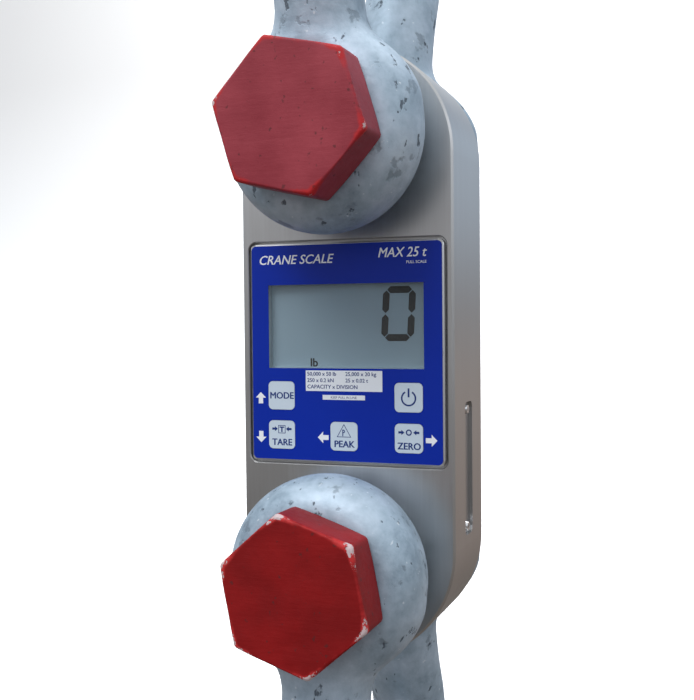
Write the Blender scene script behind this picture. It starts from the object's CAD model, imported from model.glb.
# %% [markdown]
# A crane scale hangs between a crane's hook and its load. A thick steel link carries the pull, and two bow
# shackles join it to the hook above and the load below. The measured solids come in first as a fixed frame:
# every piece made here takes its place from them, so nothing has to be fitted by eye.

# %% Load the frame
import math
import bmesh
import bpy
import numpy as np
from mathutils import Matrix, Vector


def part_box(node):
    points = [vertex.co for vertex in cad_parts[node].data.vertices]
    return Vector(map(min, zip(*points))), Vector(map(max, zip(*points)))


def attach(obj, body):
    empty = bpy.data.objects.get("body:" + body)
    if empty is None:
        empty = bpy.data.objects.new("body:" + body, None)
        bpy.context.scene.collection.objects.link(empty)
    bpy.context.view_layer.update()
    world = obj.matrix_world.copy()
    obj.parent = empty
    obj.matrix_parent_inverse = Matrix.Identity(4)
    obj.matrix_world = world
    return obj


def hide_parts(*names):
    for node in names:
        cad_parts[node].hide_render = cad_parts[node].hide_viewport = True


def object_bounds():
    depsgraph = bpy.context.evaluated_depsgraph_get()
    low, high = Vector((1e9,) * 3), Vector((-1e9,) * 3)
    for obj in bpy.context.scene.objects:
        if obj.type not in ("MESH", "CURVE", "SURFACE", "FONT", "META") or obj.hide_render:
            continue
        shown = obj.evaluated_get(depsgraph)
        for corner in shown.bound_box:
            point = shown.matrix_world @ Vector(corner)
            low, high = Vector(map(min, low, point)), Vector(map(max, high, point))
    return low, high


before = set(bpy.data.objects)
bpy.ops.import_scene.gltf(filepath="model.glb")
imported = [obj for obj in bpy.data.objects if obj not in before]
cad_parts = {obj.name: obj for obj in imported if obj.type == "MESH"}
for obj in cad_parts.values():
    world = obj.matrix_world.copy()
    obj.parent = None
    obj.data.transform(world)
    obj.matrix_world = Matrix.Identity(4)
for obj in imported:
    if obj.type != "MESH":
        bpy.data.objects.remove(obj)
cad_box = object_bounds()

MM = 0.001
print("size of the solids in mm:", [round((b - a) / MM, 1) for a, b in zip(*cad_box)])

# %% [markdown]
# The few sizes that the looks share are read off the solids. The bolts' centres are the middles of the nuts,
# and the faces of the ears, the heads and the nuts follow from the boxes of their nodes.

# %% Sizes from the solids
def low_high(node):
    """A node's lowest and highest corners as two arrays, in metres."""
    return tuple(np.array(corner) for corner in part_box(node))

nut_low, nut_high = low_high("upper_nut")
UPPER_PIN = (nut_low[2] + nut_high[2]) / 2
nut_low, nut_high = low_high("lower_nut")
LOWER_PIN = (nut_low[2] + nut_high[2]) / 2
NUT_START, NUT_END = nut_low[1], nut_high[1]
bolt_low, bolt_high = low_high("upper_bolt")
HEAD_FRONT, BOLT_TIP = bolt_low[1], bolt_high[1]
link_low, link_high = low_high("link_body")
LINK_FRONT, LINK_BACK = link_low[1], link_high[1]
LINK_MIDDLE = (link_low[2] + link_high[2]) / 2
overlay_low, overlay_high = low_high("keypad_overlay")
PRINT_Y = overlay_low[1]
print("pins at", round(UPPER_PIN / MM, 1), "and", round(LOWER_PIN / MM, 1), "mm")

# %% [markdown]
# A shape here is worked out as one array of points. Rows run along the piece and columns run round it, and
# the same few lines join neighbouring points into faces. Poles and seams are welded afterwards, so that
# every piece is a closed shell with its faces outward.

# %% From arrays to meshes
def add_piece(name, points, faces, body, replaces=(), sharp=38, wear=None):
    """Makes one mesh from points (n, 3) and faces (m, 3 or 4), welds doubles and rides it on a body."""
    mesh = bpy.data.meshes.new(name)
    mesh.from_pydata(np.asarray(points).reshape(-1, 3).tolist(), [], np.asarray(faces).tolist())
    if wear is not None:
        layer = mesh.attributes.new("wear", "FLOAT", "POINT")
        layer.data.foreach_set("value", np.asarray(wear, np.float32).ravel())
    obj = bpy.data.objects.new(name, mesh)
    bpy.context.scene.collection.objects.link(obj)
    weld(mesh)
    finish_shading(mesh, sharp)
    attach(obj, body)
    if replaces:
        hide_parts(*replaces)
    return obj


def weld(mesh, distance=2e-6):
    """Merges points that coincide, drops faces without area and turns every face outward."""
    shell = bmesh.new()
    shell.from_mesh(mesh)
    bmesh.ops.remove_doubles(shell, verts=shell.verts, dist=distance)
    bmesh.ops.dissolve_degenerate(shell, edges=shell.edges, dist=distance / 2)
    bmesh.ops.recalc_face_normals(shell, faces=shell.faces)
    shell.to_mesh(mesh)
    shell.free()


def finish_shading(mesh, sharp):
    """Smooth faces, with edges over sharp degrees left crisp."""
    mesh.polygons.foreach_set("use_smooth", np.ones(len(mesh.polygons), bool))
    mesh.set_sharp_from_angle(angle=math.radians(sharp))


def grid_faces(rows, cols, start=0):
    """Quads between neighbouring rows, with the last column joined to the first."""
    i, j = np.meshgrid(np.arange(rows - 1), np.arange(cols), indexing="ij")
    k = (j + 1) % cols
    return np.stack([i * cols + j, i * cols + k, (i + 1) * cols + k, (i + 1) * cols + j],
                    axis=-1).reshape(-1, 4) + start


def ease(x):
    """Rises smoothly from 0 to 1 while x does."""
    x = np.clip(x, 0, 1)
    return x * x * (3 - 2 * x)


def soft_min(a, b, k):
    """The smaller of a and b, blended over a width k where they are close."""
    h = np.clip(0.5 + 0.5 * (b - a) / k, 0, 1)
    return b + (a - b) * h - k * h * (1 - h)

# %% [markdown]
# A shackle's bow is one forging. Its bar runs round the crown, flares in and flattens out into two domed
# eyes. It could be a bent tube with discs pushed into its ends, but the soft hollow where the bar grows out
# of the eye is what makes it look forged. So the solid is described by a distance formula, and rays from the
# bar's centre line, all round it and all along it, are halved again and again until they end on the surface.

# %% The bow as a formula, in millimetres with its bolt at the origin
BAR_R, EAR_R = 23.35, 53.2
JAW, EAR_FACE = 36.6, 83.6
CROWN_R, CROWN_Z = 86.85, 139.9
ARM_Y, FLARE_R = 60.1, 150.0
FLARE_Z = CROWN_Z - math.sqrt((CROWN_R + FLARE_R) ** 2 - (ARM_Y + FLARE_R) ** 2)
FLARE_ANGLE = math.atan2(CROWN_Z - FLARE_Z, ARM_Y + FLARE_R)
NECK_TOP, FOOT_TOP = 64.0, 20.0
NECK_R = (BAR_R ** 2 + NECK_TOP ** 2 - EAR_R ** 2) / (2 * (EAR_R - BAR_R))
NECK_START = NECK_TOP * EAR_R / (EAR_R + NECK_R)
SEAT_R, RIM_HALF = 36.0, 1.2
BLEND = 5.0
EAR_HOLE_R = 26.2


def eye_distance(x, y, z):
    """Roughly how far a point is outside the eye: an elliptical shoulder runs from the flat seat round
    the bolt out to a narrow rim halfway through the eye, and back in to the jaw's face."""
    out = np.maximum(np.hypot(x, z) - SEAT_R, 0) / (EAR_R - SEAT_R)
    up = np.maximum(np.abs(y - ARM_Y) - RIM_HALF, 0) / (ARM_Y - JAW - RIM_HALF)
    return (EAR_R - SEAT_R) * (np.hypot(out, up) - 1)


def neck_half_width(z):
    """Half the bar's width across the bow: a circular hollow leaves the eye's circle and meets the
    straight bar, tangent to both."""
    hollow = BAR_R + NECK_R - np.sqrt(np.maximum(NECK_R ** 2 - (NECK_TOP - z) ** 2, 0))
    circle = np.sqrt(np.maximum(EAR_R ** 2 - np.minimum(z, NECK_START) ** 2, 1))
    return np.where(z > NECK_TOP, BAR_R, np.where(z > NECK_START, hollow, circle))


def bar_distance(x, y, z):
    """How far a point is outside the bar. Its centre line is the crown's circle, then a reversed arc, then
    a straight foot inside the eye."""
    crown = np.abs(np.hypot(y, z - CROWN_Z) - CROWN_R)
    flare = np.abs(np.hypot(y - ARM_Y - FLARE_R, z - FLARE_Z) - FLARE_R)
    foot = np.hypot(y - ARM_Y, np.maximum(FOOT_TOP - z, 0))
    on_crown = np.arctan2(z - CROWN_Z, y) > -FLARE_ANGLE
    across = np.where(on_crown, crown, np.where(z > FLARE_Z, flare, foot))
    return BAR_R * (np.hypot(x / neck_half_width(z), across / BAR_R) - 1)


def bow_distance(x, y, z):
    """The eye and the bar blended together, kept behind the seat that the bolt's head bears on."""
    body = soft_min(eye_distance(x, y, z), bar_distance(x, y, z), BLEND)
    return np.maximum(body, y - EAR_FACE - np.maximum(z - 40, 0) * 0.6)

# %% The bow's centre line and its rays
def half_path(eye_rows=46, flare_rows=22, crown_rows=44):
    """Centre points (y, z) and outward directions from one eye's lowest point up to the crown's top."""
    t = np.linspace(0, 1, eye_rows)
    z = -EAR_R + (EAR_R + FLARE_Z) * (1 - np.cos(t * math.pi / 2))
    y = np.full(eye_rows, ARM_Y)
    eye = np.stack([y, z, np.ones_like(y), np.zeros_like(y)], axis=1)
    a = np.linspace(0, FLARE_ANGLE, flare_rows + 1)[1:]
    flare = np.stack([ARM_Y + FLARE_R * (1 - np.cos(a)), FLARE_Z + FLARE_R * np.sin(a),
                      np.cos(a), -np.sin(a)], axis=1)
    b = np.linspace(-FLARE_ANGLE, math.pi / 2, crown_rows + 1)[1:]
    crown = np.stack([CROWN_R * np.cos(b), CROWN_Z + CROWN_R * np.sin(b), np.cos(b), np.sin(b)], axis=1)
    return np.concatenate([eye, flare, crown])


def bow_points(columns=84, steps=34, longest=78.0):
    """Points where rays from the centre line meet the surface, found by halving, for both halves. No ray
    is longer than longest."""
    path = half_path()
    angle = np.linspace(0, 2 * math.pi, columns, endpoint=False)
    y0, z0, ny, nz = (path[:, i:i + 1] for i in range(4))
    near, far = np.zeros((len(path), columns)), np.full((len(path), columns), longest)
    for _ in range(steps):
        middle = (near + far) / 2
        inside = bow_distance(middle * np.cos(angle), y0 + middle * np.sin(angle) * ny,
                              z0 + middle * np.sin(angle) * nz) < 0
        near, far = np.where(inside, middle, near), np.where(inside, far, middle)
    half = np.stack([near * np.cos(angle), y0 + near * np.sin(angle) * ny,
                     z0 + near * np.sin(angle) * nz], axis=2)
    other = half[-2::-1] * np.array([1, -1, 1])
    return np.concatenate([half, other])


def bore(obj, radius, reach, centre_z, sides=96):
    """Cuts a round hole along Y through a mesh with an exact boolean, and applies it."""
    a = np.linspace(0, 2 * math.pi, sides, endpoint=False)
    ring = np.stack([radius * np.cos(a), np.zeros(sides), centre_z + radius * np.sin(a)], axis=1)
    points = np.concatenate([[[0, -reach, centre_z]], ring + [0, -reach, 0], ring + [0, reach, 0],
                             [[0, reach, centre_z]]])
    i = np.arange(sides)
    j = (i + 1) % sides
    first, last = np.zeros(sides, int), np.full(sides, 2 * sides + 1)
    faces = (np.stack([first, 1 + j, 1 + i], 1).tolist() + grid_faces(2, sides, 1).tolist()
             + np.stack([last, 1 + sides + i, 1 + sides + j], 1).tolist())
    mesh = bpy.data.meshes.new("cutter")
    mesh.from_pydata(points.tolist(), [], faces)
    weld(mesh)
    cutter = bpy.data.objects.new("cutter", mesh)
    bpy.context.scene.collection.objects.link(cutter)
    cut = obj.modifiers.new("bore", "BOOLEAN")
    cut.operation, cut.solver, cut.object = "DIFFERENCE", "EXACT", cutter
    bpy.context.view_layer.update()
    done = bpy.data.meshes.new_from_object(obj.evaluated_get(bpy.context.evaluated_depsgraph_get()))
    obj.modifiers.clear()
    obj.data = done
    bpy.data.objects.remove(cutter)
    finish_shading(done, 38)


shape = bow_points() * MM
bow_faces = grid_faces(shape.shape[0], shape.shape[1])
upper_bow = add_piece("upper_shackle_bow", shape + [0, 0, UPPER_PIN], bow_faces, "upper_shackle",
                      ["upper_bow"])
bore(upper_bow, EAR_HOLE_R * MM, 0.12, UPPER_PIN)
lower_bow = add_piece("lower_shackle_bow", shape * [-1, 1, -1] + [0, 0, LOWER_PIN], bow_faces,
                      "lower_shackle", ["lower_bow"])
bore(lower_bow, EAR_HOLE_R * MM, 0.12, LOWER_PIN)
print("bow:", len(upper_bow.data.vertices), "points")

# %% [markdown]
# The bolts' heads have been hammered and repainted for years, so their corners are rounded and their faces
# are not quite flat. A cylinder with six sides would look new. The head is drawn instead as rays from its
# axis: a rounded hexagon gives each ray's length, a profile carries it from the front face over the worn
# edge to the back, and seeded dents push the surface about by a few tenths of a millimetre.

# %% Rounded hexagons
def hexagon(angle, across_flats, turn, roundness):
    """A ray's length inside a hexagon whose corners are rounded: half the width over a high-power mean
    of the cosines to the six flats."""
    flats = turn + math.pi / 6 + np.arange(6) * math.pi / 3
    cosines = np.maximum(np.cos(angle[..., None] - flats), 0)
    return across_flats / 2 / np.sum(cosines ** roundness, axis=-1) ** (1 / roundness)


def dents(u, v, seed, count, size, depth):
    """A sum of round dents and swellings at seeded places, each fading like a bell curve."""
    draw = np.random.default_rng(seed)
    places = draw.uniform(-48, 48, (count, 2))
    strength = draw.normal(0, depth, count)
    width = draw.uniform(0.5, 1.5, count) * size
    away = (u[..., None] - places[:, 0]) ** 2 + (v[..., None] - places[:, 1]) ** 2
    return np.sum(strength * np.exp(-away / width ** 2), axis=-1)


def head_points(across_flats, height, turn, seed, columns=180):
    """A bolt's head as rows of rays, from the middle of its front face to the middle of its back, in
    millimetres with the front face at y = 0. Also gives how near each point is to a worn edge."""
    angle = np.linspace(0, 2 * math.pi, columns, endpoint=False)
    r = hexagon(angle, across_flats, turn, 90)
    corner = ease((r - across_flats / 2) / (across_flats * 0.0774))
    front_edge = 1.2 + 0.9 * corner + 0.5 * np.sin(angle * 5 + seed) * np.sin(angle * 2)
    back_edge = 0.8 + 1.6 * corner
    face = np.linspace(0, 1, 26)[:, None] ** 0.8
    arc = np.linspace(0, math.pi / 2, 11)[1:, None]
    side = np.linspace(0, 1, 9)[1:, None]
    short_arc = arc[:6] * 0.95
    closing = np.linspace(1, 0, 4)[1:, None]
    flat = np.ones(columns)
    straight = height - front_edge - back_edge
    rows_r = [face * (r - front_edge), r - front_edge * (1 - np.sin(arc)), r + 0 * side,
              r - back_edge * (1 - np.cos(short_arc)), closing * (r - back_edge)]
    rows_y = [0 * face * flat, front_edge * (1 - np.cos(arc)), front_edge + side * straight,
              height - back_edge * (1 - np.sin(short_arc)), height + 0 * closing * flat]
    radius, y = np.concatenate(rows_r), np.concatenate(rows_y)
    x, z = radius * np.cos(angle), radius * np.sin(angle)
    skin = np.clip(1 - y / (height * 0.8), 0, 1)
    y = y + skin * np.minimum(dents(x, z, seed, 46, 7, 0.16) + 0.35, 0.9)
    swell = 1 + dents(angle * 14 + 0 * y, y * 1.5, seed + 1, 60, 5, 0.0022) * (radius > across_flats * 0.3)
    worn = 2.2
    back_rows = len(short_arc) + len(closing)
    near_edge = np.concatenate([np.exp(-((1 - face) * (r - front_edge)) / worn), np.ones((len(arc), columns)),
                                np.exp(-side * straight / worn), np.zeros((back_rows, columns))])
    return np.stack([x * swell, y, z * swell], axis=-1), near_edge * (0.55 + 0.45 * corner)


HEAD_TURNS = {"upper": (math.radians(13), 11), "lower": (math.radians(19), 29)}
HEAD_AF, HEAD_HEIGHT = 71.5, 25.5
PIN_R, THREAD_R, PITCH, THREAD_DEPTH = 25.4, 24.0, 4.0, 1.5


def shank_points(columns=120):
    """The bolt's shank and thread: a turned profile whose radius rises and falls with a triangle wave
    that advances one pitch a turn, and fades in and out at the ends of the thread."""
    start, thread = HEAD_FRONT / MM + HEAD_HEIGHT - 1, NUT_START / MM - 2
    tip = BOLT_TIP / MM
    y = np.concatenate([[start, start], np.linspace(start, thread, 12)[1:],
                        np.arange(thread + 0.4, tip, 0.5), [tip, tip]])[:, None]
    angle = np.linspace(0, 2 * math.pi, columns, endpoint=False)
    phase = (y / PITCH - angle / (2 * math.pi)) % 1
    depth = THREAD_DEPTH * ease((y - thread) / 3) * ease((tip - 1 - y) / 2)
    end_chamfer = 1.5 * ease((y - tip + 3) / 3)
    r = np.where(y > thread, THREAD_R - depth * 2 * np.abs(phase - 0.5) - end_chamfer, PIN_R)
    r = r * np.ones_like(angle)
    r[0] = r[-1] = 0
    return np.stack([r * np.cos(angle), y + 0 * r, r * np.sin(angle)], axis=-1)


def bolt_piece(which, pin_z):
    """One bolt: the worn head and the threaded shank as two shells in one piece."""
    turn, seed = HEAD_TURNS[which]
    head, wear = head_points(HEAD_AF, HEAD_HEIGHT, -turn, seed)
    head = head + [0, HEAD_FRONT / MM, 0]
    shank = shank_points()
    faces = np.concatenate([grid_faces(*head.shape[:2]),
                            grid_faces(*shank.shape[:2], start=head[..., 0].size)])
    points = np.concatenate([head.reshape(-1, 3), shank.reshape(-1, 3)]) * MM + [0, 0, pin_z]
    wear = np.concatenate([wear.ravel(), np.full(shank[..., 0].size, -1.0)])
    return add_piece(which + "_shackle_bolt", points, faces, which + "_bolt_set",
                     [which + "_bolt"], wear=wear)


bolts = {which: bolt_piece(which, z) for which, z in (("upper", UPPER_PIN), ("lower", LOWER_PIN))}
print("bolt:", len(bolts["upper"].data.vertices), "points")

# %% [markdown]
# Behind each shackle a heavy nut holds the bolt, and a cotter pin through the bolt's end holds the nut. The
# nut is the same rounded hexagon carried round a closed profile, so that the ring has a bore. The cotter is
# one wire: two legs side by side, an eye, and tips bent apart.

# %% Nuts
def nut_points(across_flats, height, bore_r, turn, columns=120):
    """A nut's rows round its cross-section: in along the front face's chamfer, over the flats and back
    through the bore. The corners are cut back by a cone, as turned nuts are."""
    angle = np.linspace(0, 2 * math.pi, columns, endpoint=False)
    r = hexagon(angle, across_flats, turn, 160)
    t = np.linspace(0, 1, 13)[:, None]
    cone_out, cone_in = 8, 4.2
    cone = across_flats / 2 - 0.6 + t * cone_out
    front_r = np.minimum(r, cone)
    front_y = t * cone_in * (cone <= r + cone_out)
    flat = np.linspace(0, 1, 8)[1:-1, None]
    flat_r, flat_y = r + 0 * flat, cone_in + flat * (height - 2 * cone_in)
    back_r, back_y = front_r[::-1], height - front_y[::-1]
    c = 1.4
    inner = np.array([[bore_r + c, height], [bore_r, height - c], [bore_r, c], [bore_r + c, 0]])
    ones = np.ones(columns)
    radius = np.concatenate([front_r, flat_r, back_r, inner[:, :1] * ones, front_r[:1]])
    y = np.concatenate([part * ones for part in (front_y, flat_y, back_y, inner[:, 1:], front_y[:1])])
    return np.stack([radius * np.cos(angle), y, radius * np.sin(angle)], axis=-1)


NUT_AF, THREAD_FIT = 76, 0.1
for which, pin_z in (("upper", UPPER_PIN), ("lower", LOWER_PIN)):
    nut = nut_points(NUT_AF, (NUT_END - NUT_START) / MM, THREAD_R + THREAD_FIT, -HEAD_TURNS[which][0])
    add_piece(which + "_shackle_nut", nut * MM + [0, NUT_START, pin_z], grid_faces(*nut.shape[:2]),
              which + "_bolt_set", [which + "_nut"], sharp=24)

# %% Cotter pins
def tube(path, radius, columns=20):
    """A round wire along a flat path (n, 2) in the x-z plane: rings across the path's direction, closed by
    a point at each end."""
    path = np.asarray(path, float)
    way = np.gradient(path, axis=0)
    way /= np.linalg.norm(way, axis=1, keepdims=True)
    normal = np.stack([-way[:, 1], way[:, 0]], axis=1)
    angle = np.linspace(0, 2 * math.pi, columns, endpoint=False)
    radii = np.full((len(path), 1), radius)
    radii[0] = radii[-1] = 0
    x = path[:, :1] + radii * np.cos(angle) * normal[:, :1]
    z = path[:, 1:] + radii * np.cos(angle) * normal[:, 1:]
    return np.stack([x, radii * np.sin(angle), z], axis=-1)


WIRE_R, LEG_X, LEG_HALF, EYE_R, BEND_R = 1.9, 1.95, 27, 5.6, 5


def cotter_path():
    """Down one leg's bent tip, up the leg, round the eye and down the other, as one smooth line."""
    a = np.linspace(-60, 240, 34) * math.pi / 180
    eye = np.stack([EYE_R * np.cos(a), LEG_HALF + 10 + EYE_R * np.sin(a)], axis=1)
    leg = np.stack([np.full(9, LEG_X), np.linspace(-LEG_HALF, LEG_HALF, 9)], axis=1)
    b = np.linspace(0, 80, 9)[::-1] * math.pi / 180
    bend = np.stack([LEG_X + BEND_R * (1 - np.cos(b)), -LEG_HALF - 1 - BEND_R * np.sin(b)], axis=1)
    end = bend[:1] + np.array([[3.0, 0.4]])
    right = np.concatenate([end + [[0.05, 0.01]], end, bend, leg])
    return np.concatenate([right, eye, (right * [-1, 1])[::-1]])


for which, pin_z in (("upper", UPPER_PIN), ("lower", LOWER_PIN)):
    turn = HEAD_TURNS[which][0]
    c, d = math.cos(turn), math.sin(turn)
    wire = tube(cotter_path(), WIRE_R) @ np.array([[c, 0, -d], [0, 1, 0], [d, 0, c]])
    add_piece(which + "_cotter_pin", wire * MM + [0, NUT_END + 7 * MM, pin_z], grid_faces(*wire.shape[:2]),
              which + "_bolt_set", [which + "_cotter"], sharp=60)

# %% [markdown]
# Everything printed on the panel is ink a few hundredths of a millimetre thick. It could be an image, but a
# flat shape with a real outline stays sharp from any distance. Outlines are lists of corners in millimetres
# from the panel's middle, and each becomes a thin closed slab on the face it is printed on.

# %% Flat shapes
INK = 0.03
CAPITAL = 0.7  # height of a capital letter in a font of size 1


def slab(outlines, front, thickness):
    """Points and faces of thin slabs: each outline is copied to a front and a back and joined by a wall."""
    points, faces, start = [], [], 0
    for flat in outlines:
        n = len(flat)
        for y in (front / MM, front / MM + thickness):
            points.append(np.stack([flat[:, 0], np.full(n, y), flat[:, 1] + LINK_MIDDLE / MM], axis=1))
        i = np.arange(n)
        j = (i + 1) % n
        faces += [(start + i).tolist(), (start + n + i[::-1]).tolist()]
        faces += np.stack([start + i, start + n + i, start + n + j, start + j], 1).tolist()
        start += 2 * n
    return np.concatenate(points) * MM, faces


def stick(name, mesh, body):
    """Puts a printed mesh in the scene and lets it ride on a body."""
    obj = bpy.data.objects.new(name, mesh)
    bpy.context.scene.collection.objects.link(obj)
    weld(mesh, 1e-7)
    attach(obj, body)
    return obj


def printed(name, outlines, body, front, thickness=INK):
    """A printed piece: slabs whose front stands one ink thickness out of the face at front."""
    points, faces = slab(outlines, front - thickness * MM, thickness)
    mesh = bpy.data.meshes.new(name)
    mesh.from_pydata(points.tolist(), [], faces)
    return stick(name, mesh, body)


def box_outline(x0, x1, z0, z1):
    """A rectangle."""
    return np.array([[x0, z0], [x1, z0], [x1, z1], [x0, z1]])


def arc_band(cx, cz, r0, r1, a0, a1, steps=24):
    """A band between two radii from one angle to another, in degrees."""
    a = np.radians(np.linspace(a0, a1, steps))
    ring = np.stack([np.cos(a), np.sin(a)], 1)
    return np.concatenate([ring * r1, ring[::-1] * r0]) + [cx, cz]


def arrow(cx, cz, size, turn):
    """A block arrow that points up, turned by so many degrees."""
    s = size / 2
    shape = np.array([[0, s], [s, 0.02 * s], [0.42 * s, 0.02 * s], [0.42 * s, -s], [-0.42 * s, -s],
                      [-0.42 * s, 0.02 * s], [-s, 0.02 * s]])
    c, d = math.cos(math.radians(turn)), math.sin(math.radians(turn))
    return shape @ np.array([[c, d], [-d, c]]) + [cx, cz]


def strike_again(mesh, step):
    """Copies flat lettering twice, a little to the side and a little up, so that it looks bold while its
    corners stay open. Each copy stands a hair further out, so that no two faces lie in one plane."""
    shape = bmesh.new()
    shape.from_mesh(mesh)
    once = shape.verts[:] + shape.edges[:] + shape.faces[:]
    for shift in ((2 * step, 0, INK / 20), (step, step, INK / 10)):
        copies = bmesh.ops.duplicate(shape, geom=once)["geom"]
        corners = [v for v in copies if isinstance(v, bmesh.types.BMVert)]
        bmesh.ops.translate(shape, vec=shift, verts=corners)
    shape.to_mesh(mesh)
    shape.free()


def wording(name, text, size, place, body, front, align="LEFT", bold=0.0, slant=0.0, squeeze=1.0):
    """Lettering: a text curve is turned into a mesh, then stood up on its face. size is the height of a
    capital letter in millimetres, and bold is how far its strikes lie apart as a share of it."""
    curve = bpy.data.curves.new(name, "FONT")
    curve.body, curve.size, curve.align_x = text, size / CAPITAL, align
    curve.shear, curve.extrude, curve.resolution_u = slant, INK / 2, 3
    carrier = bpy.data.objects.new(name + "_curve", curve)
    bpy.context.scene.collection.objects.link(carrier)
    bpy.context.view_layer.update()
    mesh = bpy.data.meshes.new_from_object(carrier.evaluated_get(bpy.context.evaluated_depsgraph_get()))
    bpy.data.objects.remove(carrier)
    if bold:
        strike_again(mesh, bold * size)
    x, z = place
    mesh.transform(Matrix(((squeeze * MM, 0, 0, x * MM), (0, 0, -MM, front - INK * MM / 2),
                           (0, MM, 0, LINK_MIDDLE + z * MM), (0, 0, 0, 1))))
    mesh.name = name
    return stick(name, mesh, body)

# %% The overlay's white print
white, navy, dark = [], [], []
for name, text, size, place, align, bold, slant, squeeze in (
        ("header_name", "CRANE SCALE", 5.0, (-51.3, 49.4), "LEFT", 0.02, 0.25, 0.98),
        ("header_rating", "MAX 25 t", 5.2, (46.5, 51.6), "RIGHT", 0.02, 0.25, 0.9),
        ("header_note", "FULL SCALE", 1.5, (47.0, 48.0), "RIGHT", 0.02, 0.0, 1.0)):
    white.append(wording(name, text, size, place, "link", PRINT_Y, align, bold, slant, squeeze))
ARROW = 6.4
arrows = [arrow(x, z, ARROW, turn) for x, z, turn in
          ((-50.6, -25.5, 0), (-50.6, -47.5, 180), (-12.9, -46.9, 90), (49.2, -46.8, -90))]
white.append(printed("overlay_arrows", arrows, "link", PRINT_Y))

# %% The labels' print
label_low, label_high = low_high("capacity_label")
LABEL_Y, FIRST_LINE = label_low[1], (label_high[2] - LINK_MIDDLE) / MM - 2.9
LINE_STEP, LABEL_TEXT, COLUMNS = 3.55, 2.1, {"left": -22.2, "right": 0.4}
lines = [("50,000 x 50 lb", "25,000 x 20 kg"), ("250 x 0.2 kN", "25 x 0.02 t"), ("CAPACITY x DIVISION", "")]
for i, line in enumerate(lines):
    for side, text in zip(COLUMNS, line):
        if text:
            place = (COLUMNS[side], FIRST_LINE - i * LINE_STEP)
            navy.append(wording("capacity_%s_%d" % (side, i), text, LABEL_TEXT, place, "link", LABEL_Y,
                                bold=0.03))
label_low, label_high = low_high("service_label")
place = (-0.6, (label_low[2] - LINK_MIDDLE) / MM + 0.65)
navy.append(wording("service_words", "KEEP PULL IN LINE", 1.3, place, "link", label_low[1], "CENTER"))

# %% The display's digit and unit
lcd_low, lcd_high = low_high("display_glass")
LCD_Y = lcd_low[1]
SLANT, DIGIT_MIDDLE = 0.055, 21


def segment(x0, z0, x1, z1, width=3.8, gap=0.35):
    """One bar of a seven-segment digit, with pointed ends that leave a thin gap to the next."""
    a, b = np.array([x0, z0], float), np.array([x1, z1], float)
    way = (b - a) / np.linalg.norm(b - a)
    side, h = np.array([-way[1], way[0]]), width / 2
    a, b = a + way * gap, b - way * gap
    flat = np.array([a, a + (way + side) * h, b + (-way + side) * h, b, b - (way + side) * h,
                     a + (way - side) * h])
    return flat + np.stack([(flat[:, 1] - DIGIT_MIDDLE) * SLANT, np.zeros(6)], 1)


DIGIT_X = (22.4, 37.2)
DIGIT_Z = (8.2, 21.2, 34.2)
left, right = DIGIT_X
low, middle, high = DIGIT_Z
ends = [(left, low, right, low), (left, high, right, high), (left, low, left, middle),
        (left, middle, left, high), (right, low, right, middle), (right, middle, right, high)]
bars = [segment(*end) for end in ends]
dark.append(printed("display_digit", bars, "link", LCD_Y, 0.12))
dark.append(wording("display_unit", "lb", 4.6, (-22.3, -7.8), "link", LCD_Y - 0.05 * MM, bold=0.04))

# %% The keys' legends
def key_face(name):
    """The middle of a key and the height of its face."""
    a, b = low_high("key_" + name)
    return (a[0] + b[0]) / 2 / MM, ((a[2] + b[2]) / 2 - LINK_MIDDLE) / MM, a[1]


def outline_box(x0, x1, z0, z1, w):
    """A rectangle's border as four bars of width w."""
    return [box_outline(x0, x1, z1 - w, z1), box_outline(x0, x1, z0, z0 + w),
            box_outline(x0, x0 + w, z0 + w, z1 - w), box_outline(x1 - w, x1, z0 + w, z1 - w)]


def triangle_band(cx, cz, size, w):
    """A triangle's border as three bars."""
    a = np.radians([90, 210, 330, 90])
    outer = np.stack([np.cos(a), np.sin(a)], 1) * size + [cx, cz]
    inner = np.stack([np.cos(a), np.sin(a)], 1) * (size - 2 * w) + [cx, cz]
    return [np.array([outer[i], outer[i + 1], inner[i + 1], inner[i]]) for i in range(3)]


def pointing_in(x, z):
    """Two short arrows, 3.4 mm long, that point at each other from both sides of an icon."""
    shape = np.array([[1.7, 0], [0.0, 1.4], [0.0, 0.6], [-1.7, 0.6], [-1.7, -0.6], [0.0, -0.6], [0.0, -1.4]])
    return [shape * [turn, 1] + [x - turn * 4.2, z + 3.2] for turn in (1, -1)]


def power_icon(x, z):
    """An open ring with a bar through its gap."""
    return [arc_band(x, z - 0.4, 3.4, 4.3, 120, 420), box_outline(x - 0.5, x + 0.5, z + 0.2, z + 5.0)]


def tare_icon(x, z):
    """A T in a frame between two arrows."""
    letter = [box_outline(x - 1.4, x + 1.4, z + 3.8, z + 4.5),
              box_outline(x - 0.4, x + 0.4, z + 1.4, z + 3.8)]
    return outline_box(x - 2.2, x + 2.2, z + 0.7, z + 5.3, 0.35) + letter + pointing_in(x, z)


def peak_icon(x, z):
    """A P in a triangle."""
    letter = [box_outline(x - 0.95, x - 0.4, z + 0.2, z + 3.8),
              arc_band(x - 0.4, z + 2.8, 0.5, 1.0, -90, 90, 10)]
    return triangle_band(x, z + 2.0, 4.9, 0.36) + letter


def zero_icon(x, z):
    """A ring between two arrows."""
    ring = [arc_band(x, z + 3.2, 1.0, 1.7, start, start + 180, 14) for start in (90, -90)]
    return ring + pointing_in(x, z)


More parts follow.
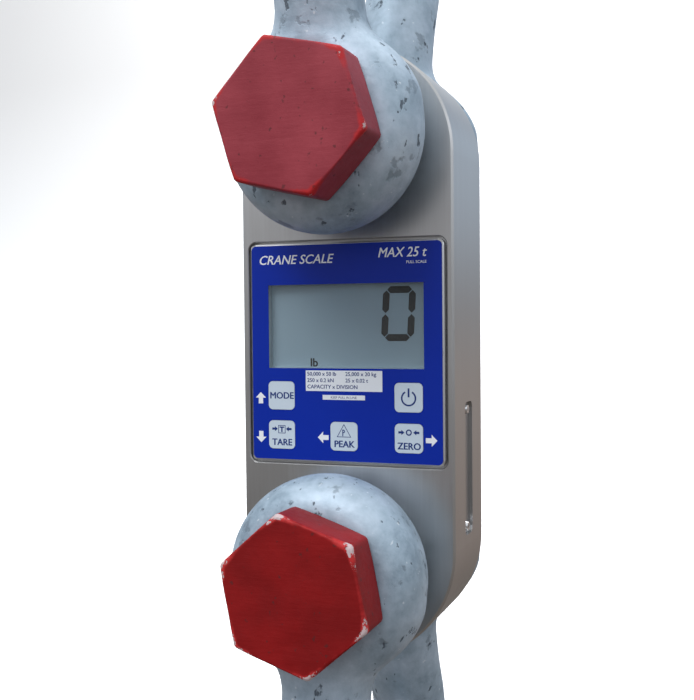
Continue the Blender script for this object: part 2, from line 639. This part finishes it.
KEYS = ("mode", "tare", "peak", "zero", "power")
ICONS = {"power": power_icon, "tare": tare_icon, "peak": peak_icon, "zero": zero_icon}
for name in KEYS[:4]:
    x, z, y = key_face(name)
    drop = 1.8 if name == "mode" else 6.0
    navy.append(wording("legend_" + name, name.upper(), 3.6, (x, z - drop), "key_%s_body" % name, y,
                        "CENTER", 0.045))
for name, icon in ICONS.items():
    x, z, y = key_face(name)
    navy.append(printed("icon_" + name, icon(x, z), "key_%s_body" % name, y))
print("printed pieces:", len(white) + len(navy) + len(dark))

# %% [markdown]
# Materials are built from nodes. A node tree can be clicked together by hand, but sums read better as sums,
# so one small class wraps a socket and lets + - * / add the Math nodes, and one method adds any other node.

# %% Node helpers
class Value:
    """A socket that Python's own signs work on: each sign adds one Math node."""

    def __init__(self, finish, socket):
        self.finish, self.socket = finish, socket

    def math(self, operation, a, b):
        """One Math node on two values or numbers."""
        return self.finish.node("Math", {"operation": operation}, {0: a, 1: b})

    def __add__(self, other): return self.math("ADD", self, other)
    def __radd__(self, other): return self.math("ADD", other, self)
    def __sub__(self, other): return self.math("SUBTRACT", self, other)
    def __rsub__(self, other): return self.math("SUBTRACT", other, self)
    def __mul__(self, other): return self.math("MULTIPLY", self, other)
    def __rmul__(self, other): return self.math("MULTIPLY", other, self)
    def __truediv__(self, other): return self.math("DIVIDE", self, other)
    def __pow__(self, other): return self.math("POWER", self, other)

    def between(self, low, high):
        """0 below low, 1 above high, and a smooth rise in between."""
        return self.finish.node("MapRange", {"interpolation_type": "SMOOTHSTEP"},
                                {"Value": self, "From Min": low, "From Max": high})


class Finish:
    """One material. node() adds any node, and the other methods add the few that finishes share."""

    def __init__(self, name, **constants):
        self.material = bpy.data.materials.new(name)
        self.material.use_nodes = True
        self.tree = self.material.node_tree
        self.shader = self.tree.nodes["Principled BSDF"]
        self.place = Value(self, self.tree.nodes.new("ShaderNodeTexCoord").outputs["Object"])
        for key, value in constants.items():
            self.shader.inputs[key.replace("_", " ")].default_value = value

    def node(self, kind, settings=None, sockets=None, out=0):
        """Adds a node, sets its settings, and links or sets its sockets. Gives its output number out."""
        made = self.tree.nodes.new("ShaderNode" + kind)
        for key, value in (settings or {}).items():
            if key == "stops":
                ramp = made.color_ramp.elements
                while len(ramp) < len(value):
                    ramp.new(0.5)
                for element, (position, colour) in zip(ramp, value):
                    element.position, element.color = position, (*colour, 1)
            else:
                setattr(made, key, value)
        for key, value in (sockets or {}).items():
            if isinstance(value, Value):
                self.tree.links.new(value.socket, made.inputs[key])
            else:
                made.inputs[key].default_value = value
        return Value(self, made.outputs[out])

    def noise(self, scale, detail=4.0, rough=0.5, stretch=(1, 1, 1), shift=(0, 0, 0)):
        """Noise on the object's own coordinates, scale in cycles a metre, stretched along the axes."""
        place = self.node("Mapping", None, {"Vector": self.place, "Scale": stretch, "Location": shift})
        return self.node("TexNoise", None, {"Vector": place, "Scale": scale, "Detail": detail,
                                            "Roughness": rough})

    def ramp(self, value, *stops):
        """The colour that a value has between stops of (position, colour)."""
        return self.node("ValToRGB", {"stops": stops}, {"Fac": value})

    def mix(self, amount, a, b):
        """Colour a where amount is 0 and b where it is 1."""
        four = lambda c: c if isinstance(c, Value) else (*c, 1)
        return self.node("Mix", {"data_type": "RGBA"}, {0: amount, 6: four(a), 7: four(b)}, out=2)

    def feed(self, **links):
        """Links values to the shader's sockets, named with _ for a space."""
        for key, value in links.items():
            self.tree.links.new(value.socket, self.shader.inputs[key.replace("_", " ")])
        return self

    def bump(self, height, distance, strength=1.0):
        """Lets a height, in steps of distance metres, tilt the surface."""
        return self.feed(Normal=self.node("Bump", None, {"Height": height, "Distance": distance,
                                                         "Strength": strength}))


def paint(finish, *objects):
    """Gives objects this finish and no other."""
    for obj in objects:
        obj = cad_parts[obj] if isinstance(obj, str) else obj
        obj.data.materials.clear()
        obj.data.materials.append(finish.material)

# %% [markdown]
# Hot-dip galvanising leaves a skin of zinc: pale blue-grey, cloudy in patches, with dull spots where it has
# worn and tiny bright ones where it was knocked. Two sizes of noise make the clouds, and thresholds on finer
# noise place the spots, so that no two areas look alike.

# %% Galvanised steel
def galvanised(name, seed):
    """Clouds of zinc with dull blotches, dark pits and small bright glints."""
    f = Finish(name, Metallic=0.25, Roughness=0.5)
    cloud = f.noise(22, 5, 0.62, shift=(seed, 0, seed))
    fine = f.noise(150, 6, 0.65, shift=(0, seed, 0))
    colour = f.ramp(cloud * 0.7 + fine * 0.3, (0.32, (0.19, 0.26, 0.33)), (0.47, (0.36, 0.46, 0.55)),
                    (0.60, (0.50, 0.60, 0.70)), (0.72, (0.64, 0.74, 0.83)))
    ragged = f.noise(420, 4, 0.7, shift=(seed, 1, 0)) * 0.16
    blotch = (f.noise(62, 3, 0.6, shift=(seed, seed, 0)) + ragged).between(0.70, 0.76)
    pit = (f.noise(150, 3, 0.55, stretch=(1, 1, 0.6), shift=(seed, 5, 1)) + ragged).between(0.73, 0.78)
    glint = f.noise(300, 2, 0.5, shift=(7, seed, 3)).between(0.70, 0.76)
    colour = f.mix(blotch * 0.55, colour, (0.16, 0.205, 0.25))
    colour = f.mix(pit * 0.8, colour, (0.055, 0.075, 0.10))
    colour = f.mix(glint * 0.45, colour, (0.85, 0.89, 0.92))
    f.feed(Base_Color=colour, Roughness=0.42 + fine * 0.25 + pit * 0.2)
    return f.bump(cloud * 0.8 + fine * 0.4 - pit * 0.5 - blotch * 0.25, 0.0012, 0.6)


zinc = galvanised("galvanised_steel", 3.0)
paint(zinc, upper_bow, lower_bow, *(bpy.data.objects[w + "_shackle_nut"] for w in ("upper", "lower")))
bright_zinc = Finish("zinc_plated_wire", Metallic=0.9, Roughness=0.35)
streak = bright_zinc.noise(300, 4)
bright_zinc.feed(Base_Color=bright_zinc.ramp(streak, (0.3, (0.5, 0.51, 0.5)), (0.7, (0.72, 0.73, 0.72))))
bright_zinc.bump(streak, 0.0002, 0.4)
paint(bright_zinc, *(bpy.data.objects[w + "_cotter_pin"] for w in ("upper", "lower")),
      "front_plate_screws", "board_screws", "rear_cover_screws", "battery_springs")

# %% [markdown]
# Brushed red paint on a forged head has brush ripples, darker grime in the hollows, a lighter worn band
# along every edge and a few chips down to bright zinc. The mesh carries how near each point is to an edge,
# and noise breaks that band up, so the wear is ragged instead of a neat line.

# %% Red paint
def red_paint(name, seed, face_dark, face, edge, chip_level):
    """Paint that is worn towards the edges. A lower chip_level bares more of the metal."""
    f = Finish(name, Roughness=0.45, Specular_IOR_Level=0.2)
    near = f.node("Attribute", {"attribute_name": "wear"}, out=2)
    cloud = f.noise(24, 4, 0.55, shift=(seed, 0, 0))
    fine = f.noise(240, 6, 0.6, shift=(0, 0, seed))
    brush = f.noise(60, 4, 0.6, stretch=(1, 1, 6), shift=(seed, 0, 0))
    colour = f.mix(cloud.between(0.35, 0.7), face_dark, face)
    colour = f.mix((near + (fine - 0.5) * 0.7).between(0.45, 0.95) * 0.9, colour, edge)
    grime = f.noise(300, 3, 0.5, shift=(4, seed, 0)).between(0.66, 0.72)
    colour = f.mix(grime * 0.6, colour, (0.07, 0.02, 0.02))
    chip_noise = f.noise(190, 6, 0.75, stretch=(1, 1.6, 1), shift=(seed, 2, 9))
    chips = (near * 0.8 + chip_noise * 1.5).between(chip_level, chip_level + 0.12)
    specks = (f.noise(300, 5, 0.7, shift=(9, seed, 2)) + near * 0.03).between(0.735, 0.75)
    bare = (chips * 0.85 + specks * 0.6).between(0.25, 0.85)
    colour = f.mix(bare * 0.85, colour, (0.62, 0.56, 0.57))
    steel = near.between(-0.2, -0.6)
    colour = f.mix(steel, colour, (0.45, 0.5, 0.53))
    f.feed(Base_Color=colour, Roughness=0.34 + fine * 0.22 + cloud * 0.1, Metallic=steel * 0.6)
    return f.bump(cloud * 0.5 + fine * 0.25 + brush * 0.3 - bare * 0.35, 0.0009, 0.55)


faded = red_paint("red_paint_faded", 2.0, (0.27, 0.028, 0.042), (0.36, 0.048, 0.066),
                  (0.50, 0.018, 0.02), 1.57)
deep = red_paint("red_paint_deep", 6.0, (0.21, 0.004, 0.005), (0.30, 0.006, 0.007),
                 (0.60, 0.035, 0.035), 1.38)
paint(faded, bolts["upper"])
paint(deep, bolts["lower"])

# %% [markdown]
# The link is machined, then brushed along its length, and plated. Brushing shows as long hairlines in the
# roughness and the bump far more than in the colour, so one noise is stretched along the link for them, and
# a broad one gives the faint cloudy staining of handled steel.

# %% Brushed steel
def brushed(name, along, light=(0.62, 0.63, 0.64), dark_tone=(0.42, 0.41, 0.40), rough=0.27):
    """Metal with hairlines: along squeezes the noise on each axis, and least is along the brushing."""
    f = Finish(name, Metallic=1.0, Roughness=rough)
    lines = f.noise(900, 3, 0.6, stretch=along)
    wide = f.noise(120, 3, 0.5, stretch=along)
    stain = f.noise(14, 4, 0.6)
    colour = f.mix(lines * 0.35 + wide * 0.25 + stain * 0.4, dark_tone, light)
    f.feed(Base_Color=colour, Roughness=rough - 0.06 + lines * 0.14 + stain * 0.10)
    return f.bump(lines * 0.7 + wide * 0.3, 0.00008, 0.35)


paint(brushed("brushed_link", (1, 1, 0.03)), "link_body", "rear_cover", "battery_cover")
paint(brushed("satin_plate", (0.05, 1, 1), (0.80, 0.81, 0.82), (0.62, 0.63, 0.65), 0.3), "front_plate")
screw = brushed("bright_screw", (1, 1, 1), (0.92, 0.92, 0.93), (0.7, 0.7, 0.72), 0.2)
paint(screw, "battery_cover_screws")

# %% [markdown]
# The panel is a printed film under a hard clear coat: deep blue with a fine grain that softens highlights.
# The keys are the same film over pale caps. The display is a grey-green glass behind a clear window.

# %% Films, inks and plastics
def film(name, colour, other, rough=0.32, grain=1400, coat=0.3):
    """Printed film between two close colours, with a fine grain."""
    f = Finish(name, Roughness=rough, Coat_Weight=coat, Coat_Roughness=0.2, Specular_IOR_Level=0.2)
    tone, fine = f.noise(20, 3), f.noise(grain, 2)
    f.feed(Base_Color=f.mix(tone * 0.8 + fine * 0.2, colour, other), Roughness=rough - 0.05 + fine * 0.12)
    return f.bump(fine, 0.00004, 0.25)


paint(film("blue_film", (0.0001, 0.019, 0.31), (0.0004, 0.027, 0.40), coat=0.0), "keypad_overlay")
paint(film("key_film", (0.56, 0.66, 0.76), (0.66, 0.75, 0.83)), *("key_" + k for k in KEYS))
paint(film("label_film", (0.78, 0.82, 0.88), (0.86, 0.89, 0.93), 0.45), "capacity_label", "service_label")
paint(film("white_ink", (0.86, 0.88, 0.92), (0.92, 0.93, 0.96), 0.4), *white)
paint(film("navy_ink", (0.01, 0.03, 0.16), (0.015, 0.045, 0.22), 0.4), *navy)
paint(film("lcd_ink", (0.012, 0.012, 0.011), (0.022, 0.020, 0.018), 0.5, coat=0.0), *dark)


def plain_plastic(name, colour, other, rough=0.55, scale=500, depth=0.0001):
    """Moulded plastic or rubber between two close colours."""
    f = Finish(name, Roughness=rough)
    grain = f.noise(scale, 4)
    f.feed(Base_Color=f.mix(grain, colour, other), Roughness=rough - 0.1 + grain * 0.2)
    return f.bump(grain, depth, 0.4)


rubber = plain_plastic("black_rubber", (0.012, 0.012, 0.014), (0.03, 0.03, 0.032), 0.7)
moulding = plain_plastic("black_moulding", (0.015, 0.015, 0.017), (0.035, 0.035, 0.038))
light_guide = plain_plastic("light_guide", (0.80, 0.82, 0.78), (0.88, 0.89, 0.86))
strip_rubber = plain_plastic("strip_rubber", (0.50, 0.30, 0.34), (0.62, 0.40, 0.44))
laminate = plain_plastic("circuit_board", (0.012, 0.10, 0.045), (0.02, 0.17, 0.07), 0.35)
foil = plain_plastic("gauge_film", (0.55, 0.34, 0.10), (0.68, 0.45, 0.16), 0.4)
covering = plain_plastic("lead_covering", (0.40, 0.05, 0.04), (0.52, 0.08, 0.06))
jacket = plain_plastic("cell_jacket", (0.05, 0.06, 0.07), (0.09, 0.10, 0.12), 0.3)
brass = brushed("turned_brass", (1, 1, 1), (0.83, 0.68, 0.36), (0.62, 0.47, 0.22), 0.3)
paint(rubber, "front_gasket", "rear_gasket", "battery_seal")
paint(moulding, "display_frame", "board_chips", "board_header", "battery_end_plates")
paint(light_guide, "backlight")
paint(strip_rubber, "contact_strips")
paint(laminate, "main_board", "amplifier_board")
paint(foil, "strain_gauges")
paint(covering, "gauge_leads", "battery_leads")
paint(jacket, "battery_cells")
paint(brass, "board_spacers", "key_domes")

# %% The display's glass
lcd = Finish("lcd_face", Roughness=0.4)
drift = lcd.noise(9, 2, 0.4, shift=(0.4, 0, 0.2))
lcd.feed(Base_Color=lcd.ramp(drift, (0.3, (0.19, 0.28, 0.35)), (0.7, (0.26, 0.37, 0.43))))
lcd.bump(drift, 0.00002, 0.1)
paint(lcd, "display_glass")
window = Finish("clear_window", Roughness=0.06, IOR=1.45, Specular_IOR_Level=0.15)
window.shader.inputs["Transmission Weight"].default_value = 0.0
smear = window.noise(40, 4, 0.6)
window.feed(Base_Color=window.mix(smear, (0.60, 0.68, 0.68), (0.75, 0.80, 0.80)), Alpha=0.02 + smear * 0.03)
paint(window, "display_window")

# %% [markdown]
# The scene is a plain pale studio: a floor that curves up into a backdrop, one large soft light above and to
# the front left, a weaker one from the right, and a sky that fills the shadows, warm and dim below and pale
# above. The floor is seen but throws no light back, so that undersides go dark as they do out of doors. The
# camera is a little to the right of the display and level with it, as a person would read it.

# %% Floor and backdrop
FLOOR_Z = cad_box[0][2] - 0.02


def sweep_sheet():
    """The floor runs back, bends up in a quarter circle and becomes the wall: one profile drawn sideways."""
    front, bend_start, bend_r, wall_top, half_width = -6, 2.2, 1.6, 6, 8.0
    a = np.linspace(0, math.pi / 2, 24)
    bend = np.stack([bend_start + bend_r * np.sin(a), bend_r * (1 - np.cos(a))], 1)
    profile = np.concatenate([[[front, 0]], bend, [[bend_start + bend_r, wall_top]]])
    x = np.array([-half_width, half_width])
    return np.stack([np.broadcast_to(x, (len(profile), 2)), np.repeat(profile[:, :1], 2, 1),
                     np.repeat(profile[:, 1:], 2, 1) + FLOOR_Z], axis=-1)


rows = sweep_sheet()
floor_mesh = bpy.data.meshes.new("floor")
i = np.arange(rows.shape[0] - 1) * 2
floor_mesh.from_pydata(rows.reshape(-1, 3).tolist(), [], np.stack([i, i + 1, i + 3, i + 2], 1).tolist())
floor_mesh.polygons.foreach_set("use_smooth", np.ones(len(floor_mesh.polygons), bool))
floor = bpy.data.objects.new("floor", floor_mesh)
bpy.context.scene.collection.objects.link(floor)
floor.visible_diffuse = floor.visible_glossy = False
pale = Finish("pale_floor", Roughness=0.9)
pale.feed(Base_Color=pale.mix(pale.noise(3, 2), (0.93, 0.93, 0.93), (0.95, 0.95, 0.95)))
paint(pale, floor)

# %% Lights
def soft_light(name, position, target, size, power, colour=(1, 1, 1)):
    """A square area light that faces its target."""
    data = bpy.data.lights.new(name, "AREA")
    data.size, data.energy, data.color = size, power, colour
    lamp = bpy.data.objects.new(name, data)
    bpy.context.scene.collection.objects.link(lamp)
    lamp.location = position
    lamp.rotation_euler = (Vector(target) - Vector(position)).to_track_quat("-Z", "Y").to_euler()


middle_point = (0, 0, LINK_MIDDLE)
soft_light("key_light", (-0.5, -1.3, 1.6), middle_point, 1.3, 36, (0.97, 0.985, 1.0))
soft_light("side_light", (2.2, -0.8, 0.6), middle_point, 1.2, 3, (0.95, 0.97, 1.0))
soft_light("backdrop_light", (0, 1.4, 2.4), (0, 3.6, 0.4), 2.5, 150)

# %% Sky
world = bpy.data.worlds.new("sky")
world.use_nodes = True
tree = world.node_tree
direction = tree.nodes.new("ShaderNodeTexCoord").outputs["Generated"]
parts = tree.nodes.new("ShaderNodeSeparateXYZ")
tree.links.new(direction, parts.inputs["Vector"])
height = tree.nodes.new("ShaderNodeMapRange")
height.inputs["From Min"].default_value = -1.0
tree.links.new(parts.outputs["Z"], height.inputs["Value"])
sky = tree.nodes.new("ShaderNodeValToRGB")
sky_stops = [(0.0, (0.20, 0.17, 0.15)), (0.44, (0.28, 0.25, 0.23)), (0.55, (0.50, 0.55, 0.61)),
             (0.70, (0.85, 0.91, 0.98)), (1.0, (0.95, 0.98, 1.0))]
while len(sky.color_ramp.elements) < len(sky_stops):
    sky.color_ramp.elements.new(0.5)
for element, (position, colour) in zip(sky.color_ramp.elements, sky_stops):
    element.position, element.color = position, (*colour, 1)
tree.links.new(height.outputs["Result"], sky.inputs["Fac"])
tree.links.new(sky.outputs["Color"], tree.nodes["Background"].inputs["Color"])
tree.nodes["Background"].inputs["Strength"].default_value = 0.9
bpy.context.scene.world = world
bpy.context.scene.view_settings.view_transform = "Standard"

# %% [markdown]
# Bright steel shows what stands round it more than its own colour. In a white studio it would go white, so a
# tall card stands out of sight behind the right side: cool and bright at the top, dark in the middle and warm
# at the foot. The link's side mirrors it, and a second card behind the camera does the same for its front.

# %% Reflected card
def card(name, corners, stops):
    """A flat card that only reflections see, shaded from its foot to its top."""
    mesh = bpy.data.meshes.new(name)
    mesh.from_pydata(corners, [], [(0, 1, 2, 3)])
    obj = bpy.data.objects.new(name, mesh)
    bpy.context.scene.collection.objects.link(obj)
    f = Finish(name, Roughness=1.0)
    rise = f.node("SeparateXYZ", None, {"Vector": f.place}, out=2)
    low, high = corners[0][2], corners[2][2]
    shade = f.ramp((rise - low) / (high - low), *stops)
    f.feed(Emission_Color=shade)
    f.shader.inputs["Base Color"].default_value = (0, 0, 0, 1)
    f.shader.inputs["Emission Strength"].default_value = 1.0
    paint(f, obj)
    obj.visible_camera = obj.visible_diffuse = obj.visible_shadow = False


side_stops = [(0.30, (0.22, 0.18, 0.155)), (0.38, (0.34, 0.28, 0.25)), (0.43, (0.42, 0.35, 0.31)),
              (0.455, (0.30, 0.30, 0.31)), (0.485, (0.50, 0.58, 0.68)), (0.53, (0.58, 0.70, 0.84)),
              (0.60, (0.16, 0.22, 0.34)), (0.70, (0.42, 0.52, 0.66))]
front_stops = [(0.25, (0.15, 0.14, 0.13)), (0.42, (0.26, 0.25, 0.245)), (0.58, (0.48, 0.48, 0.50)),
               (0.75, (0.85, 0.88, 0.92))]
card("side_card", [(0.30, 1.6, -3.0), (1.9, 1.0, -3.0), (1.9, 1.0, 3.0), (0.30, 1.6, 3.0)], side_stops)
card("front_card", [(-2.6, -2.0, -1.9), (0.9, -2.0, -1.9), (0.9, -2.0, 1.3), (-2.6, -2.0, 1.3)], front_stops)

# %% Camera
CAMERA_PLACE = Vector((0.1996, -0.5667, LINK_MIDDLE + 0.0175))
YAW, PITCH_DOWN, ROLL = 0.355, 0.028, -0.009
FOCAL_LENGTHS_A_FRAME = 1041 / 700
level = math.cos(PITCH_DOWN)
ahead = Vector((-math.sin(YAW) * level, math.cos(YAW) * level, -math.sin(PITCH_DOWN)))
right_way = ahead.cross(Vector((0, 0, 1))).normalized()
up_way = right_way.cross(ahead)
turned_right = math.cos(ROLL) * right_way + math.sin(ROLL) * up_way
turned_up = math.cos(ROLL) * up_way - math.sin(ROLL) * right_way
lens = bpy.data.cameras.new("camera")
lens.sensor_fit, lens.sensor_height, lens.lens = "VERTICAL", 36, 36 * FOCAL_LENGTHS_A_FRAME
lens.clip_start = 0.05
camera = bpy.data.objects.new("camera", lens)
bpy.context.scene.collection.objects.link(camera)
basis = Matrix((turned_right, turned_up, -ahead)).transposed().to_4x4()
camera.matrix_world = Matrix.Translation(CAMERA_PLACE) @ basis
bpy.context.scene.camera = camera
